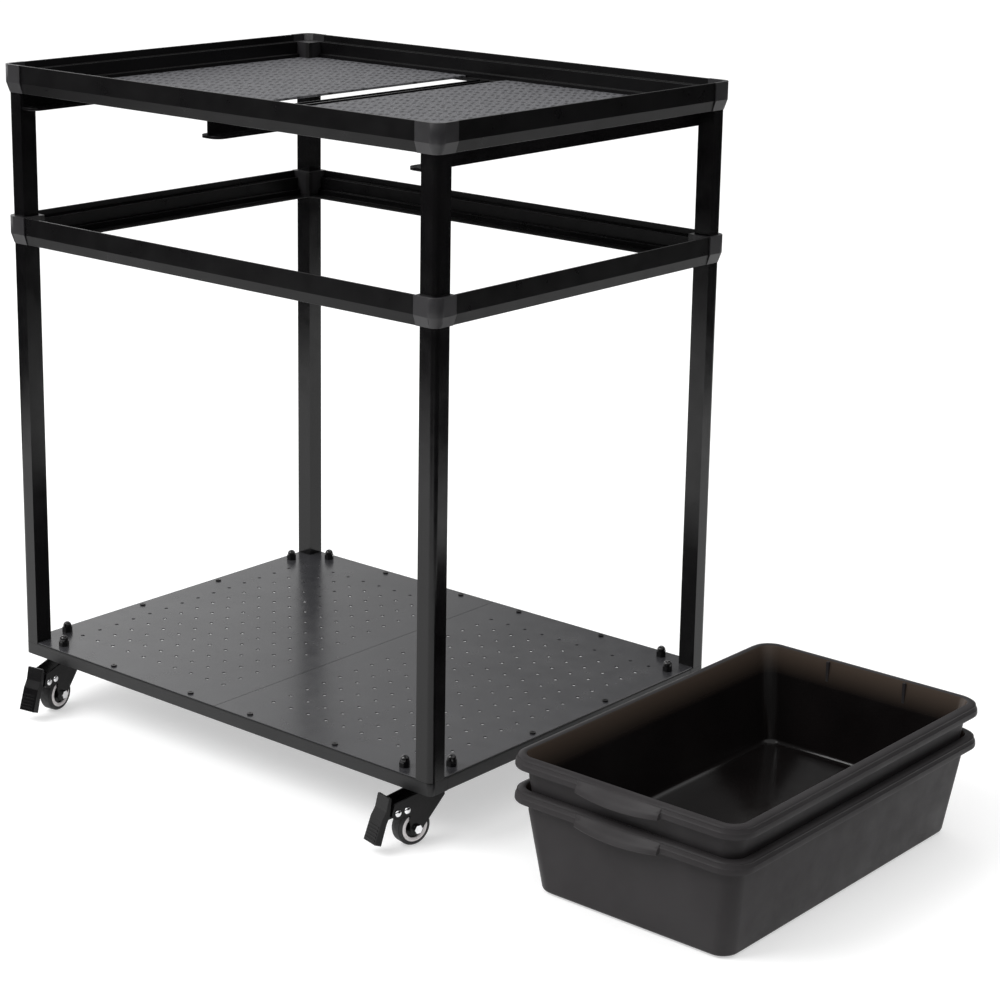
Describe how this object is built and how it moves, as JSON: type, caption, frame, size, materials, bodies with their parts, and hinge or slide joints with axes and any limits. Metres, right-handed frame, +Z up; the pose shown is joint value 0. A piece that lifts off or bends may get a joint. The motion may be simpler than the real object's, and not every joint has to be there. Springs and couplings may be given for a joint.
{
  "type": "terrarium stand",
  "caption": "Open rectangular stand on swivelling braked casters that seats a terrarium in its lipped top ring, with a middle ring, a perforated bottom shelf and nested pull-out bins beside it.",
  "frame": {"origin": "middle of the whole set's bounding box on the floor, with the stand to the left of it and the bins to the right", "axes": "+X runs along the width from the stand towards the bins, +Y from the front (the side the near casters and the bins' handles face) to the back, +Z up"},
  "size_m": [0.985, 0.5354, 0.724],
  "materials": {
    "gloss_black_metal": "glossy black powder coat",
    "rail_black": "semi-gloss black on the extruded section",
    "connector_grey": "moulded dark grey, satin",
    "base_charcoal": "semi-gloss charcoal coat",
    "shelf_grey": "semi-gloss grey-black coat with soft reflections",
    "deck_grey": "fine embossed grain",
    "black_hardware": "glossy black",
    "zinc_steel": "zinc plated",
    "caster_black": "glossy black",
    "tyre_black": "smooth black tread",
    "hub_plastic": "pale ring round a dark dished hub",
    "bright_chrome": "polished",
    "bin_plastic": "dark grey, slightly translucent"
  },
  "bodies": {
    "frame": {"post_front_left": "gloss_black_metal", "post_front_right": "gloss_black_metal", "post_back_left": "gloss_black_metal", "post_back_right": "gloss_black_metal", "top_rail_front": "rail_black", "top_rail_back": "rail_black", "top_rail_left": "rail_black", "top_rail_right": "rail_black", "top_corner_front_left": "connector_grey", "top_corner_front_right": "connector_grey", "top_corner_back_left": "connector_grey", "top_corner_back_right": "connector_grey", "mid_rail_front": "rail_black", "mid_rail_back": "rail_black", "mid_rail_left": "rail_black", "mid_rail_right": "rail_black", "mid_corner_front_left": "connector_grey", "mid_corner_front_right": "connector_grey", "mid_corner_back_left": "connector_grey", "mid_corner_back_right": "connector_grey", "base_rail_front": "base_charcoal", "base_rail_back": "base_charcoal", "base_rail_left": "base_charcoal", "base_rail_right": "base_charcoal", "shelf_sheet_left": "shelf_grey", "shelf_sheet_right": "shelf_grey", "deck_panel_left": "deck_grey", "deck_panel_right": "deck_grey", "bin_runner_left": "gloss_black_metal", "bin_runner_middle": "gloss_black_metal", "bin_runner_right": "gloss_black_metal", "shelf_screws": "black_hardware", "caster_bolts": "zinc_steel", "dome_nuts": "black_hardware", "caster_plate_front_left": "zinc_steel", "caster_plate_front_right": "zinc_steel", "caster_plate_back_left": "zinc_steel", "caster_plate_back_right": "zinc_steel"},
    "swivel_front_left": {"caster_fork_front_left": "caster_black", "axle_front_left": "bright_chrome"},
    "wheel_front_left": {"tyre_front_left": "tyre_black", "wheel_hub_front_left": "hub_plastic"},
    "pedal_front_left": {"brake_pedal_front_left": "caster_black"},
    "swivel_front_right": {"caster_fork_front_right": "caster_black", "axle_front_right": "bright_chrome"},
    "wheel_front_right": {"tyre_front_right": "tyre_black", "wheel_hub_front_right": "hub_plastic"},
    "pedal_front_right": {"brake_pedal_front_right": "caster_black"},
    "swivel_back_left": {"caster_fork_back_left": "caster_black", "axle_back_left": "bright_chrome"},
    "wheel_back_left": {"tyre_back_left": "tyre_black", "wheel_hub_back_left": "hub_plastic"},
    "pedal_back_left": {"brake_pedal_back_left": "caster_black"},
    "swivel_back_right": {"caster_fork_back_right": "caster_black", "axle_back_right": "bright_chrome"},
    "wheel_back_right": {"tyre_back_right": "tyre_black", "wheel_hub_back_right": "hub_plastic"},
    "pedal_back_right": {"brake_pedal_back_right": "caster_black"},
    "bin_below": {"lower_bin": "bin_plastic"},
    "bin_above": {"upper_bin": "bin_plastic"}
  },
  "joints": [
    {"name": "swivel_front_left", "type": "hinge", "parent": "frame", "child": "swivel_front_left", "pos_m": [-0.4565, -0.197, 0.06], "axis": [0, 0, 1], "continuous": true},
    {"name": "roll_front_left", "type": "hinge", "parent": "swivel_front_left", "child": "wheel_front_left", "pos_m": [-0.45294, -0.21719, 0.019], "axis": [-0.9848, -0.1736, 0], "continuous": true},
    {"name": "brake_front_left", "type": "hinge", "parent": "swivel_front_left", "child": "pedal_front_left", "pos_m": [-0.44903, -0.23935, 0.0405], "axis": [0.9848, 0.1736, 0], "range_deg": [0, 17]},
    {"name": "swivel_front_right", "type": "hinge", "parent": "frame", "child": "swivel_front_right", "pos_m": [0.0905, -0.197, 0.06], "axis": [0, 0, 1], "continuous": true},
    {"name": "roll_front_right", "type": "hinge", "parent": "swivel_front_right", "child": "wheel_front_right", "pos_m": [0.08571, -0.21693, 0.019], "axis": [-0.9724, 0.2334, 0], "continuous": true},
    {"name": "brake_front_right", "type": "hinge", "parent": "swivel_front_right", "child": "pedal_front_right", "pos_m": [0.08046, -0.23881, 0.0405], "axis": [0.9724, -0.2334, 0], "range_deg": [0, 17]},
    {"name": "swivel_back_left", "type": "hinge", "parent": "frame", "child": "swivel_back_left", "pos_m": [-0.4565, 0.197, 0.06], "axis": [0, 0, 1], "continuous": true},
    {"name": "roll_back_left", "type": "hinge", "parent": "swivel_back_left", "child": "wheel_back_left", "pos_m": [-0.46006, 0.21719, 0.019], "axis": [0.9848, 0.1736, 0], "continuous": true},
    {"name": "brake_back_left", "type": "hinge", "parent": "swivel_back_left", "child": "pedal_back_left", "pos_m": [-0.46397, 0.23935, 0.0405], "axis": [-0.9848, -0.1736, 0], "range_deg": [0, 17]},
    {"name": "swivel_back_right", "type": "hinge", "parent": "frame", "child": "swivel_back_right", "pos_m": [0.0905, 0.197, 0.06], "axis": [0, 0, 1], "continuous": true},
    {"name": "roll_back_right", "type": "hinge", "parent": "swivel_back_right", "child": "wheel_back_right", "pos_m": [0.09476, 0.21705, 0.019], "axis": [0.9781, -0.2079, 0], "continuous": true},
    {"name": "brake_back_right", "type": "hinge", "parent": "swivel_back_right", "child": "pedal_back_right", "pos_m": [0.09944, 0.23906, 0.0405], "axis": [-0.9781, 0.2079, 0], "range_deg": [0, 17]},
    {"name": "lift_lower_bin", "type": "slide", "parent": "frame", "child": "bin_below", "axis": [0, 0, 1], "range_m": [0, 0.15]},
    {"name": "lift_upper_bin", "type": "slide", "parent": "bin_below", "child": "bin_above", "axis": [0, 0, 1], "range_m": [0, 0.15]}
  ]
}
